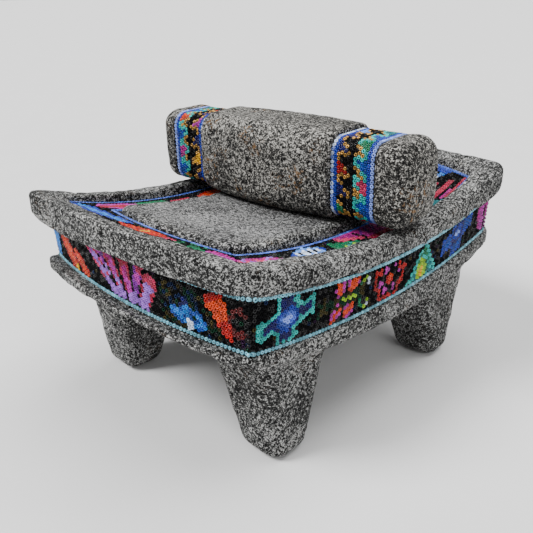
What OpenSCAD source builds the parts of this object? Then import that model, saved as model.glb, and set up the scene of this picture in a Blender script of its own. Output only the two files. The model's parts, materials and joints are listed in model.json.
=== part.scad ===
// Four-legged basalt metate with its hand stone (mano), both set with bands of glass
// seed beads bedded in wax. The frame stands on the floor: +Z is up, X runs along the
// mano, Y along the grinding stroke, and the origin is under the middle of the slab.
// The top, the grooves and the underside all sag as arcs about axes parallel to X.

/* [Slab] */
// Width of the slab between its corners
slab_w = 204; // [196:1:210]
// Length of the slab between its corners
slab_l = 270; // [264:1:280]
// How far each end bows outward at its middle
end_bow = 13.5; // [8:0.5:16]
// How far each long side bows outward at its middle
side_bow = 3.5; // [2:0.5:5]
// How much each corner is rounded off
corner_cut = 2; // [1:0.5:6]
// Height of the rim at mid-length
rim_z = 124.5; // [124.5:0.5:126]
// How much higher the rim is at the corners
rim_rise = 19.5; // [19.5:0.5:21]
// Height of the slab's side at mid-length
side_h = 58; // [56:0.5:60]
// How much higher the underside is at the corners
under_rise = 20; // [18:0.5:20]

/* [Bead groove round the side] */
// Depth of the upper lip at mid-length
lip_h = 13.5; // [12:0.5:15]
// Width of the bead groove at mid-length
band_h = 29; // [27:0.5:30]
// How much higher the groove's top edge is at the corners
band_top_rise = 15.3; // [14:0.1:16]
// How much higher the groove's bottom edge is at the corners
band_foot_rise = 11.7; // [11:0.1:13]
// How far the beads sit in from the upper lip on the long sides
band_in_x = 1.5; // [1.2:0.1:2.5]
// How far the beads sit in from the upper lip at the ends
band_in_y = 9; // [7:0.5:10]
// How far the upper lip's foot is cut back at the ends
lip_back_y = 4; // [2:0.5:5]
// How far the lower lip sits in from the upper lip on the long sides
foot_lip_in_x = 1; // [0.5:0.1:1.1]
// How far the lower lip sits in from the upper lip at the ends
foot_lip_in_y = 2.6; // [1:0.1:4]

/* [Beads and wax] */
// Height of one bead row round the slab
bead = 2.6; // [2.4:0.1:2.8]
// Width of one bead row round the mano
mano_bead = 2.5; // [2.3:0.1:2.7]
// Thickness of the bead layer
bead_t = 2; // [1.8:0.1:2.2]
// Thickness of the wax bed behind the beads
wax_t = 1; // [0.8:0.1:1.2]

/* [Grinding pad and channel] */
// Width of the raised pad
pad_w = 120; // [117:1:122]
// Length of the raised pad between its corners
pad_l = 196; // [190:1:200]
// How far each long side of the pad bows outward at its middle
pad_side_bow = 1; // [1:0.5:2]
// How far each end of the pad bows outward at its middle
pad_end_bow = 8; // [6:0.5:9]
// How much each corner of the pad is rounded off
pad_cut = 5; // [3:0.5:6]
// Height of the pad at mid-length
pad_z = 124; // [123.5:0.5:124]
// Radius of the pad's sag, about which the mano swings
stroke_r = 470; // [460:1:480]
// Width of the flat top of the rim
rim_w = 15; // [13:0.5:16]
// How far the channel's beads lie below the pad at mid-length
channel_drop = 6.5; // [5:0.5:7.5]
// How much higher the channel is at its corners
channel_rise = 18.5; // [17:0.5:20]

/* [Legs] */
// Outer corner of a foot from the middle, along X
foot_x = 93; // [90:0.5:94]
// Outer corner of a foot from the middle, along Y
foot_y = 100.5; // [98:0.5:103]
// Size of a foot along X
foot_w = 34.5; // [32:0.5:36]
// Size of a foot along Y
foot_l = 30.5; // [28:0.5:33]
// Size of a leg along X at its root
root_x = 55.5; // [52:0.5:58]
// Size of a leg along Y at its root
root_y = 62.5; // [58:0.5:64]
// How far a leg's outer side leans out along X
lean_x = 3; // [0:0.5:3]
// How far a leg's outer side leans out along Y
lean_y = 11; // [8:0.5:14]

/* [Mano] */
// Length of the mano
mano_l = 226; // [222:1:230]
// Length of the bulging middle of the mano
mano_mid_l = 118; // [116:1:120]
// How far the middle and the bands lie off the middle of the mano's length
mano_mid_x = -2.5; // [-4:0.5:4]
// Depth of the middle of the mano, front to back
mano_d = 64; // [60:0.5:66]
// Height of the middle of the mano
mano_h = 60.5; // [60:0.5:62]
// How much the middle narrows towards the bands on its front and back
bulge_y = 5; // [4:0.5:7]
// How much the middle narrows towards the bands on its top and bottom
bulge_z = 0.5; // [0.5:0.5:2]
// Rounding of the middle's long edges
mano_round = 16; // [15:0.5:19]
// Depth of the knobs, front to back
knob_d = 47; // [44:0.5:48]
// Height of the knobs
knob_h = 55; // [53:0.5:56]
// Rounding of the knobs' long edges
knob_round = 12; // [10:0.5:14]
// Radius of the knobs' domed ends
dome_r = 120; // [100:1:140]
// Width of each beaded band on the mano
mano_band_w = 32.5; // [31:0.5:33]
// How far the bands' beads sit below the knobs' surface
mano_band_in = 1; // [0.5:0.1:1.5]
// How far the mano lies to the right of the middle at rest
mano_rest_x = -1.5; // [-2:0.5:2]
// How far the mano lies back from the bottom of the sag at rest
mano_rest_y = 10; // [0:0.5:12]
// Angle that the mano is turned in plan at rest
mano_turn = 2.5; // [0:0.5:3]
// Gap between the mano and the pad
mano_gap = 0.6; // [0.6:0.1:0.8]

/* [Hidden] */
$fn = 180;
big_fn = 720;
reach = 400;

// A plan outline is its half sizes along X and Y, its sides' and ends' bows, and its corner cut
lip = [[slab_w, slab_l] / 2, [side_bow, end_bow], corner_cut];
lip_foot = inset(lip, [0, lip_back_y]);
foot_lip = inset(lip, [foot_lip_in_x, foot_lip_in_y]);
bead_face = inset(lip, [band_in_x, band_in_y]);
wax_face = inset(bead_face, [bead_t, bead_t]);
core_face = inset(wax_face, [wax_t, wax_t]);
rim_inner = inset(lip, [rim_w, rim_w]);
rim_row = inset(rim_inner, [bead, bead]);
pad_edge = [[pad_w, pad_l] / 2, [pad_side_bow, pad_end_bow], pad_cut];
pad_row = inset(pad_edge, [-bead, -bead]);
half_l = slab_l / 2;
corner_step = (slab_l - slab_w) / 2;

// A sagged surface is its height at mid-length, its rise, and the half length it rises over
rim_top = [rim_z, rim_rise, half_l];
under = [rim_z - side_h, under_rise, half_l];
band_top = [rim_z - lip_h, band_top_rise, half_l];
band_foot = [band_top[0] - band_h, band_foot_rise, half_l];
lip_waist = (rim_top + band_top) / 2;
row_top = band_top - [bead, 0, 0];
row_foot = band_foot + [bead, 0, 0];
channel_top = [pad_z - channel_drop, channel_rise, half_l - rim_w];
channel_wax = channel_top - [bead_t, 0, 0];
channel_floor = channel_wax - [wax_t, 0, 0];
pad_top = [pad_z, stroke_r - sqrt(stroke_r * stroke_r - half_l * half_l), half_l];

column_h = 200;
leg_h = 83;

stroke_axis_z = pad_z + stroke_r;
mano_swing = asin(mano_rest_y / stroke_r);
half_mid = mano_mid_l / 2;
end_x = mano_l / 2;
rows_w = 2 * mano_bead;
knob_size = [knob_d, knob_h];
mano_bead_face = knob_size - 2 * [mano_band_in, mano_band_in];
mano_wax_face = mano_bead_face - 2 * [bead_t, bead_t];
mano_core = mano_wax_face - 2 * [wax_t, wax_t];

// Radius of the arc that rises by `rise` over `half`
function sag_r(rise, half) = (half * half + rise * rise) / (2 * rise);

// The outline set in by that much along X and Y
function inset(outline, by) = [outline[0] - by, outline[1], outline[2]];

// Where the band and the knob start at one end of the mano: right is +1, left is -1
function band_x(sign) = half_mid + sign * mano_mid_x;
function knob_x(sign) = band_x(sign) + mano_band_w;

// Everything above a sagged surface
module above(surface) {
    r = sag_r(surface[1], surface[2]);
    translate([0, 0, surface[0] + r])
        rotate([0, 90, 0])
            cylinder(r = r, h = reach, center = true, $fn = big_fn);
}

// Plan outline with bowed ends, bowed sides and rounded corners
module plan(outline) {
    half = outline[0];
    bow = outline[1];
    side_r = sag_r(bow[0], half[1]);
    end_r = sag_r(bow[1], half[0]);
    intersection() {
        translate([0, half[1] + bow[1] - end_r]) circle(r = end_r, $fn = big_fn);
        translate([0, end_r - half[1] - bow[1]]) circle(r = end_r, $fn = big_fn);
        translate([half[0] + bow[0] - side_r, 0]) circle(r = side_r, $fn = 3 * big_fn);
        translate([side_r - half[0] - bow[0], 0]) circle(r = side_r, $fn = 3 * big_fn);
        circle(r = norm(half) - outline[2]);
    }
}

module column(outline) {
    linear_extrude(height = column_h) plan(outline);
}

// Solid of one outline between two sagged surfaces
module layer(outline, low, high) {
    difference() {
        intersection() {
            column(outline);
            above(low);
        }
        above(high);
    }
}

module ring(outer, inner, low, high) {
    difference() {
        layer(outer, low, high);
        column(inner);
    }
}

// What lies outside an outline between two sagged surfaces
module groove(inner, low, high) {
    difference() {
        above(low);
        above(high);
        column(inner);
    }
}

// The part of a ring along one long side: right is +1, left is -1
module long_side(sign) {
    intersection() {
        children();
        linear_extrude(height = column_h)
            polygon([
                [0, -corner_step], [sign * reach, -corner_step - reach],
                [sign * reach, corner_step + reach], [0, corner_step]
            ]);
    }
}

// The part of a ring along one end: back is +1, front is -1
module end_side(sign) {
    intersection() {
        children();
        linear_extrude(height = column_h)
            polygon([
                [0, sign * corner_step], [reach, sign * (corner_step + reach)],
                [-reach, sign * (corner_step + reach)]
            ]);
    }
}

// A leg at +X +Y, which tapers down to its foot
module leg() {
    top_x = foot_x + lean_x;
    top_y = foot_y + lean_y;
    intersection() {
        rotate([90, 0, 0])
            linear_extrude(height = reach, center = true)
                polygon([
                    [foot_x - foot_w, 0], [foot_x, 0], [top_x, leg_h], [top_x - root_x, leg_h]
                ]);
        rotate([90, 0, 90])
            linear_extrude(height = reach, center = true)
                polygon([
                    [foot_y - foot_l, 0], [foot_y, 0], [top_y, leg_h], [top_y - root_y, leg_h]
                ]);
        translate([0, 0, leg_h / 2]) cube([reach, reach, leg_h], center = true);
        cube([reach, reach, reach]);
    }
}

module metate_body() {
    color("dimgray")
        union() {
            difference() {
                layer(lip, under, rim_top);
                groove(lip_foot, band_top, lip_waist);
                groove(core_face, band_foot, band_top);
                groove(foot_lip, under, band_foot);
                difference() {
                    intersection() {
                        column(rim_inner);
                        above(channel_floor);
                    }
                    column(pad_edge);
                }
                intersection() {
                    column(rim_inner);
                    above(pad_top);
                }
            }
            for (x = [0, 1], y = [0, 1]) mirror([x, 0, 0]) mirror([0, y, 0]) leg();
        }
}

module outer_wax() {
    color("black") ring(wax_face, core_face, band_foot, band_top);
}

module inner_wax() {
    color("black") ring(rim_inner, pad_edge, channel_floor, channel_wax);
}

module outer_field() {
    ring(bead_face, wax_face, row_foot, row_top);
}

module outer_beads_front() {
    color("mediumvioletred") end_side(-1) outer_field();
}

module outer_beads_right() {
    color("royalblue") long_side(1) outer_field();
}

module outer_beads_back() {
    color("orangered") end_side(1) outer_field();
}

module outer_beads_left() {
    color("darkmagenta") long_side(-1) outer_field();
}

module outer_row_upper() {
    color("lightblue") ring(bead_face, wax_face, row_top, band_top);
}

module outer_row_lower() {
    color("lightblue") ring(bead_face, wax_face, band_foot, row_foot);
}

module inner_field() {
    ring(rim_row, pad_row, channel_wax, channel_top);
}

module inner_beads_front() {
    color("tomato") end_side(-1) inner_field();
}

module inner_beads_right() {
    color("hotpink") long_side(1) inner_field();
}

module inner_beads_back() {
    color("slateblue") end_side(1) inner_field();
}

module inner_beads_left() {
    color("seagreen") long_side(-1) inner_field();
}

module inner_row_rim() {
    color("cornflowerblue") ring(rim_inner, rim_row, channel_wax, channel_top);
}

module inner_row_pad() {
    color("cornflowerblue") ring(pad_row, pad_edge, channel_wax, channel_top);
}

// Round-cornered section, [depth, height], seen along X
module section(size, r) {
    square([size[0] - 2 * r, size[1]], center = true);
    square([size[0], size[1] - 2 * r], center = true);
    for (y = [-1, 1], z = [-1, 1])
        translate([y * (size[0] / 2 - r), z * (size[1] / 2 - r)]) circle(r = r);
}

// Bar of that section from x0 to x1
module bar(size, r, x0, x1) {
    translate([x0, 0, 0])
        rotate([90, 0, 90])
            linear_extrude(height = x1 - x0) section(size, r);
}

// Puts the mano on the pad, tangent to its sag
module on_pad() {
    translate([0, 0, stroke_axis_z])
        rotate([mano_swing, 0, 0])
            translate([mano_rest_x, 0, mano_gap + mano_h / 2 - stroke_r])
                rotate([0, 0, mano_turn])
                    children();
}

// One end of the mano: right is +1, left is -1
module at_end(sign) {
    mirror([sign < 0 ? 1 : 0, 0, 0]) children();
}

// Lens-shaped outline whose half height falls by `bulge` over `half`
module lens(half_height, bulge, half) {
    r = sag_r(bulge, half);
    intersection() {
        translate([0, half_height - r]) circle(r = r, $fn = big_fn);
        translate([0, r - half_height]) circle(r = r, $fn = big_fn);
    }
}

module mano_middle() {
    translate([mano_mid_x, 0, 0])
        intersection() {
            bar([mano_d, mano_h], mano_round, -half_mid, half_mid);
            linear_extrude(height = reach, center = true) lens(mano_d / 2, bulge_y, half_mid);
            rotate([90, 0, 0])
                linear_extrude(height = reach, center = true) lens(mano_h / 2, bulge_z, half_mid);
        }
}

// A sleeve round the mano from one section to a smaller one
module sleeve(outer, inner, shrink, x0, x1) {
    difference() {
        bar(outer, knob_round - shrink[0], x0, x1);
        bar(inner, knob_round - shrink[1], x0 - 1, x1 + 1);
    }
}

// The core under one band, with the knob beyond it
module mano_knob(sign) {
    core_round = knob_round - mano_band_in - bead_t - wax_t;
    intersection() {
        union() {
            bar(mano_core, core_round, 0, end_x);
            bar(knob_size, knob_round, knob_x(sign), end_x);
        }
        translate([end_x - dome_r, 0, 0]) sphere(r = dome_r);
    }
}

module mano_stone() {
    color("gray")
        on_pad()
            union() {
                mano_middle();
                for (sign = [-1, 1]) at_end(sign) mano_knob(sign);
            }
}

module mano_wax(sign) {
    shrink = [mano_band_in + bead_t, mano_band_in + bead_t + wax_t];
    on_pad()
        at_end(sign)
            sleeve(mano_wax_face, mano_core, shrink, band_x(sign), knob_x(sign));
}

module mano_sleeve(sign, x0, x1) {
    shrink = [mano_band_in, mano_band_in + bead_t];
    on_pad() at_end(sign) sleeve(mano_bead_face, mano_wax_face, shrink, x0, x1);
}

module mano_rows(sign) {
    mano_sleeve(sign, band_x(sign), band_x(sign) + rows_w);
    mano_sleeve(sign, knob_x(sign) - rows_w, knob_x(sign));
}

module mano_wax_left() {
    color("black") mano_wax(-1);
}

module mano_wax_right() {
    color("black") mano_wax(1);
}

module mano_beads_left() {
    color("goldenrod") mano_sleeve(-1, band_x(-1) + rows_w, knob_x(-1) - rows_w);
}

module mano_beads_right() {
    color("goldenrod") mano_sleeve(1, band_x(1) + rows_w, knob_x(1) - rows_w);
}

module mano_rows_left() {
    color("mediumblue") mano_rows(-1);
}

module mano_rows_right() {
    color("mediumblue") mano_rows(1);
}

metate_body();
outer_wax();
inner_wax();
outer_beads_front();
outer_beads_right();
outer_beads_back();
outer_beads_left();
outer_row_upper();
outer_row_lower();
inner_beads_front();
inner_beads_right();
inner_beads_back();
inner_beads_left();
inner_row_rim();
inner_row_pad();
mano_stone();
mano_wax_left();
mano_wax_right();
mano_beads_left();
mano_beads_right();
mano_rows_left();
mano_rows_right();
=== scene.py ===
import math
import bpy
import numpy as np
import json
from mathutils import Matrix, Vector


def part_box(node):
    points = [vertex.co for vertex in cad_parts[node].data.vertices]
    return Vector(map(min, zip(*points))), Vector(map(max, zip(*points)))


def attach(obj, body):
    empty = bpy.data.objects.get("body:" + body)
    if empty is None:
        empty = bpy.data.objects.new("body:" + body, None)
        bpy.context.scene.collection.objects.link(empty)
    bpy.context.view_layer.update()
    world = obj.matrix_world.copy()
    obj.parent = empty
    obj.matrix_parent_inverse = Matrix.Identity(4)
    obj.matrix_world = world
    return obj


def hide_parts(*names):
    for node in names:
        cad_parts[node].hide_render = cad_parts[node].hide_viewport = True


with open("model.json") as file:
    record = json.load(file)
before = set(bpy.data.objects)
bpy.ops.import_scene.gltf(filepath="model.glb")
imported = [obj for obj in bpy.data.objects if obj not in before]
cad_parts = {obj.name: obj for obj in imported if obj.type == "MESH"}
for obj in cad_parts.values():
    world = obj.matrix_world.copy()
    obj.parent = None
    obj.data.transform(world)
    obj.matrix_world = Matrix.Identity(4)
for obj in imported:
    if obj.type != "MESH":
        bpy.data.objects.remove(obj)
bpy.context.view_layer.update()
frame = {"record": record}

# A metate with its mano: carved basalt, with bands of glass seed beads bedded in black wax.
# The stone is shaped as signed distance fields and meshed, and every bead is its own ring.
# Lengths are millimetres up to the moment a mesh is made, which scales them by MM.
import openvdb as vdb
from mathutils import Matrix, Vector

MM = 0.001


def box_mm(node):
    low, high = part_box(node)
    return np.array(low) / MM, np.array(high) / MM


# ---------------------------------------------------------------- driving dimensions
END_BOW = 13.5          # how far each end bows out at its middle
SIDE_BOW = 3.5          # how far each long side bows out at its middle
BOWS = np.array([SIDE_BOW, END_BOW])
PAD_BOWS = np.array([1.0, 8.0])
RIM_RISE = 19.5         # how much higher each sagged surface is at the corners
UNDER_RISE = 20.0
BAND_TOP_RISE = 15.3
BAND_FOOT_RISE = 11.7
CHANNEL_RISE = 18.5
SIDE_H = 58.0           # height of the slab's side at mid-length
LIP_H = 13.5            # height of the upper lip
LIP_TOP_ROUND = 4.5
LIP_BACK = 4.0          # how far the lip's end faces fall back towards the groove
LIP_HANG = 2.4          # how far the lip hangs over the band at those of its corners that stand high
LIP_HANG_OTHER = 1.2    # the same at its two other corners
LIP_FLARE = 4.5         # how far the lip flares out at its front left and back right corners
LIP_BEVEL = 7.0         # how much rounder its lower edge is there
TWIST = 2.5             # how far the band's foot is lower at the front right and back left corners
FOOT_LIP_IN = (1.0, 2.6)                # how far the lower lip stands in from the upper, in X and Y
CORNER_ROUND = {"front": (5.0, 15.0), "back": (7.0, 8.0)}    # plan rounding at the left and right corner
WAX_T = 1.0
BEAD_T = 2.0
STROKE_R = 470.0        # radius of the pad's sag
SIDES = ("front", "right", "back", "left")
BEAD = 2.6              # pitch of the rows on the slab
ROW_PITCH = 2.72        # pitch of the beads up a column of the side bands, before it is fitted
NEST = 0.875            # spacing of staggered rows, as a share of the pitch along them
CHANNEL_DROP = 6.5      # how far the channel's beads lie below the pad
BAND_LEAN = 1.2         # how far the side beads lean out at the top and in at the foot
LEG_H = 83.0
FOOT = np.array([93.0, 100.5])          # outer corner of a foot
FOOT_SIZE = np.array([34.5, 30.5])
ROOT_SIZE = np.array([55.5, 62.5])
LEG_LEAN = np.array([3.0, 11.0])
LEG_ROUND = 11.0
LEG_TOP = 80.0
FOOT_ROUND = 9.0
LEG_BLEND = 12.0        # fillet between a leg and the slab
PAD_ROUND = 12.0        # plan rounding of the pad's corners
PAD_TOP_ROUND = 5.0
BASIN_ROUND = 4.0
RIM_EDGE_ROUND = 2.0
MANO_L = 226.0
MANO_MID_L = 118.0
MANO_MID_X = -2.5       # how far the middle and the bands lie off the middle of the mano
MANO_D = 64.0
MANO_H = 60.5
MANO_BULGE = np.array([5.0, 0.5])
MANO_ROUND = 16.0
KNOB = np.array([47.0, 55.0])
KNOB_ROUND = 12.0
DOME_R = 120.0
MANO_BAND_W = 32.5
MANO_BAND_IN = 1.0
MANO_REST = (-1.5, 10.0)
MANO_TURN = 2.5
MANO_GAP = 0.6
SLAB_STEP = 1.30        # size of a cell when the slab is meshed
MANO_STEP = 0.9
CAMERA_AT = (0.30924, -0.32187, 0.263)  # metres
CAMERA_TURN = (45.07, 22.90, -0.94)     # azimuth, pitch and roll in degrees
CAMERA_LENS = 43.36

# ---------------------------------------------------------------- what the frame gives
LIP = box_mm("metate_body")[1][:2] - BOWS
RIM_Z = box_mm("outer_row_upper")[0][2] + BEAD + LIP_H
BEAD_FACE = box_mm("outer_row_upper")[1][:2] - BOWS
RIM_INNER = box_mm("inner_row_rim")[1][:2] - BOWS
PAD_EDGE = box_mm("inner_row_pad")[1][:2] - PAD_BOWS - BEAD
CORE_FACE = BEAD_FACE - BEAD_T - WAX_T
BAND_FOOT_Z = box_mm("outer_row_lower")[0][2]
STROKE_Z = frame["record"]["behaviour"]["joints"][0]["pos_m"][2] / MM
PAD_Z = STROKE_Z - STROKE_R


def sag_r(rise, half):
    """Radius of the arc that rises by rise over half."""
    return (half * half + rise * rise) / (2 * rise)


class Sag:
    """A surface that sags along Y as an arc: its height at mid-length and its radius."""

    def __init__(self, z, rise=None, radius=None):
        self.z = z
        self.r = radius or sag_r(rise, LIP[1])

    def height(self, y):
        return self.z + self.r - np.sqrt(self.r ** 2 - np.minimum(y * y, self.r ** 2))

    def above(self, y, z):
        """Signed distance that is negative above the surface."""
        return np.hypot(y, z - self.z - self.r) - self.r


RIM_TOP = Sag(RIM_Z, RIM_RISE)
UNDER = Sag(RIM_Z - SIDE_H, UNDER_RISE)
BAND_TOP = Sag(RIM_Z - LIP_H, BAND_TOP_RISE)
BAND_FOOT = Sag(BAND_FOOT_Z, BAND_FOOT_RISE)
PAD_TOP = Sag(PAD_Z, radius=STROKE_R)
CHANNEL = Sag(PAD_Z - CHANNEL_DROP, radius=sag_r(CHANNEL_RISE, RIM_INNER[1]))
CHANNEL_FLOOR = Sag(CHANNEL.z - BEAD_T - WAX_T, radius=CHANNEL.r)


def twist(x, y):
    """How much higher the hand-cut foot of the band is there."""
    return TWIST * (x / LIP[0]) * (y / LIP[1])


def band_foot(x, y):
    return BAND_FOOT.height(y) + twist(x, y)


# ---------------------------------------------------------------- distance fields
def both(a, b, r):
    """Where two solids meet, with the edge rounded by r."""
    return np.minimum(-r, np.maximum(a, b)) + np.hypot(np.maximum(a + r, 0), np.maximum(b + r, 0))


def join(a, b, k):
    """Two solids together, with the corner between them filled over k."""
    h = np.maximum(k - np.abs(a - b), 0) / k
    return np.minimum(a, b) - h * h * k / 4


class Grid:
    """Cell centres of a box, as three arrays that broadcast together."""

    def __init__(self, low, high, step):
        self.step = step
        self.low = np.array(low, dtype=np.float32)
        counts = np.ceil((np.array(high) - self.low) / step).astype(int) + 1
        axes = [self.low[i] + step * np.arange(counts[i], dtype=np.float32) for i in range(3)]
        self.x, self.y, self.z = np.meshgrid(*axes, indexing="ij", sparse=True)
        self.counts = counts

    def noise(self, rng, spacing):
        """Smooth noise of unit size, whose bumps are about spacing across."""
        weights = []
        for count in self.counts:
            t = np.arange(count) * self.step / spacing
            nodes = np.arange(int(t[-1]) + 4) - 1
            d = np.abs(t[:, None] - nodes[None])
            near = 2 / 3 - d * d + d ** 3 / 2
            far = np.clip(2 - d, 0, None) ** 3 / 6
            weights.append(np.where(d < 1, near, far).astype(np.float32))
        values = rng.standard_normal([w.shape[1] for w in weights]).astype(np.float32)
        for w in weights:
            values = np.tensordot(values, w, axes=(0, 1))
        return values * 1.8


def plan_ends(x, y, half, bow=END_BOW):
    r = sag_r(bow, half[0])
    return np.hypot(x, np.abs(y) + r - half[1] - bow) - r


def plan_sides(x, y, half, bow=SIDE_BOW):
    r = sag_r(bow, half[1])
    return np.hypot(np.abs(x) + r - half[0] - bow, y) - r


def plan(x, y, half, r, bows=BOWS):
    return both(plan_ends(x, y, half, bows[1]), plan_sides(x, y, half, bows[0]), r)


def corner_round(x, y):
    """Rounding of the plan corners: softest at the front right one, sharpest at the front left."""
    front, back = (np.where(x > 0, right, left) for left, right in CORNER_ROUND.values())
    return np.where(y < 0, front, back)


def leg_field(x, y, z):
    """The four legs at once, as one tapered leg mirrored across both axes."""
    sides = []
    up = z / LEG_H
    for p, i in ((np.abs(x), 0), (np.abs(y), 1)):
        inner_foot = FOOT[i] - FOOT_SIZE[i]
        inner_root = FOOT[i] + LEG_LEAN[i] - ROOT_SIZE[i]
        outer = (p - FOOT[i] - LEG_LEAN[i] * up) / math.hypot(1, LEG_LEAN[i] / LEG_H)
        slope = (inner_root - inner_foot) / LEG_H
        inner = (inner_foot + (inner_root - inner_foot) * up - p) / math.hypot(1, slope)
        sides.append(np.maximum(outer, inner))
    column = both(sides[0], sides[1], LEG_ROUND)
    return np.maximum(both(column, -z, FOOT_ROUND), z - LEG_TOP)


def slab_field(g):
    x, y, z = g.x, g.y, g.z
    r = corner_round(x, y)
    top = -RIM_TOP.above(y, z)
    under = UNDER.above(y, z)
    down = np.clip(-top / LIP_H, 0, 1)
    back = LIP_BACK * np.clip(0.35 + x * np.sign(-y) / 150, 0, 1)
    high = x * y > 0
    corner = np.hypot(np.abs(x) - LIP[0], np.abs(y) - LIP[1])
    hang = LIP_HANG * np.clip(0.25 + 1.2 * (x / LIP[0]) * (y / LIP[1]), 0, 1)
    hang = hang + np.where(high, 0, LIP_HANG_OTHER) * np.exp(-(corner / 24) ** 2)
    bevel = 1.0 + np.where(high, LIP_BEVEL, 0) * np.exp(-(corner / 20) ** 2)
    flare = np.where(high, LIP_FLARE, 0) * np.exp(-(corner / 26) ** 2)
    lip_plan = both(plan_ends(x, y, LIP) + back * down, plan_sides(x, y, LIP), r) - flare
    lip = both(both(lip_plan, top, LIP_TOP_ROUND), BAND_TOP.above(y, z + hang), bevel)
    core_plan = plan(x, y, CORE_FACE, np.maximum(r - 4, 2))
    core = both(both(core_plan, top + 6, 2.0), under + 4, 2.0)
    foot_half = LIP - np.array(FOOT_LIP_IN)
    foot_plan = plan(x, y, foot_half, r)
    foot_top = BAND_FOOT.above(y, z - twist(x, y))
    foot = both(both(foot_plan, -foot_top, 2.0), under, 2.5)
    body = join(foot, leg_field(x, y, z), LEG_BLEND)
    groove = np.maximum(np.maximum(-core_plan, foot_top), -BAND_TOP.above(y, z))
    body = np.maximum(body, -groove)
    body = np.minimum(np.minimum(body, core), lip)
    basin = both(plan(x, y, RIM_INNER, BASIN_ROUND), CHANNEL_FLOOR.above(y, z), 1.0)
    body = both(body, -basin, RIM_EDGE_ROUND)
    pad = both(plan(x, y, PAD_EDGE, PAD_ROUND, PAD_BOWS), -PAD_TOP.above(y, z), PAD_TOP_ROUND)
    return np.minimum(body, np.maximum(pad, under + 10))


def mano_field(g):
    x, y, z = g.x, g.y, g.z
    ax, ay, az = np.abs(x), np.abs(y), np.abs(z)
    mid = MANO_MID_L / 2
    along = x - MANO_MID_X
    limits = []
    for p, half, bulge in ((ay, MANO_D / 2, MANO_BULGE[0]), (az, MANO_H / 2, MANO_BULGE[1])):
        r = sag_r(bulge, mid)
        limits.append(np.hypot(along, p + r - half) - r)
    middle = both(both(limits[0], limits[1], MANO_ROUND), np.abs(along) - mid, 2.5)
    knob_x = mid + MANO_BAND_W + MANO_MID_X * np.sign(x)
    dome = np.hypot(np.hypot(ax - MANO_L / 2 + DOME_R, y), z) - DOME_R
    knob = both(ay - KNOB[0] / 2, az - KNOB[1] / 2, KNOB_ROUND)
    knob = both(both(knob, dome, 9.0), knob_x - ax, 2.0)
    sunk = MANO_BAND_IN + BEAD_T + WAX_T
    core = both(ay - KNOB[0] / 2 + sunk, az - KNOB[1] / 2 + sunk, KNOB_ROUND - sunk)
    core = np.maximum(core, ax - knob_x - 5)
    return np.minimum(np.minimum(middle, knob), core)


def pit(g, field, rng, count, sizes, keep):
    """Cuts round pores into the skin of a field, at cells where keep says how likely one is."""
    skin = np.argwhere(np.abs(field) < 0.5 * g.step)
    spots = skin[rng.integers(0, len(skin), count)]
    centre = g.low + g.step * spots
    chance = keep(centre[:, 0], centre[:, 1], centre[:, 2])
    chosen = rng.random(count) < chance
    radius = sizes[0] + np.minimum(rng.exponential(sizes[1], count), sizes[2])
    squash = rng.uniform(0.6, 1.0, (count, 3))
    for spot, c, r, k in zip(spots[chosen], centre[chosen], radius[chosen], squash[chosen]):
        span = int(r / g.step) + 2
        a = np.maximum(spot - span, 0)
        b = np.minimum(spot + span + 1, g.counts)
        x = (g.x[a[0]:b[0]] - c[0]) / k[0]
        y = (g.y[:, a[1]:b[1]] - c[1]) / k[1]
        z = (g.z[:, :, a[2]:b[2]] - c[2]) / k[2]
        hole = r - np.sqrt(x * x + y * y + z * z)
        part = field[a[0]:b[0], a[1]:b[1], a[2]:b[2]]
        np.maximum(part, hole, out=part)
    return field


def mesh_field(name, g, field, place=None):
    """Meshes the surface of a field, in metres and with its faces outward."""
    grid = vdb.FloatGrid(3.0)
    grid.copyFromArray(np.ascontiguousarray(field, dtype=np.float32))
    points, tris, quads = grid.convertToPolygons(isovalue=0.0, adaptivity=0.0)
    points = points * g.step + g.low
    if place is not None:
        points = points @ place[0].T + place[1]
    faces = [quads[:, ::-1], tris[:, ::-1]]
    return make_mesh(name, points, faces)


def make_mesh(name, points, faces, material_index=None):
    """A mesh object from points in millimetres and arrays of faces."""
    mesh = bpy.data.meshes.new(name)
    points = np.asarray(points, dtype=np.float32) * MM
    mesh.vertices.add(len(points))
    mesh.vertices.foreach_set("co", points.ravel())
    faces = [f for f in faces if len(f)]
    corners = np.concatenate([f.ravel() for f in faces]).astype(np.int32)
    sizes = np.concatenate([np.full(len(f), f.shape[1]) for f in faces])
    starts = np.concatenate([[0], np.cumsum(sizes)[:-1]]).astype(np.int32)
    mesh.loops.add(len(corners))
    mesh.loops.foreach_set("vertex_index", corners)
    mesh.polygons.add(len(sizes))
    mesh.polygons.foreach_set("loop_start", starts)
    if material_index is not None:
        mesh.polygons.foreach_set("material_index", material_index.astype(np.int32))
    mesh.update(calc_edges=True)
    mesh.shade_smooth()
    mesh.validate()
    piece = bpy.data.objects.new(name, mesh)
    bpy.context.scene.collection.objects.link(piece)
    return piece


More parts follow.
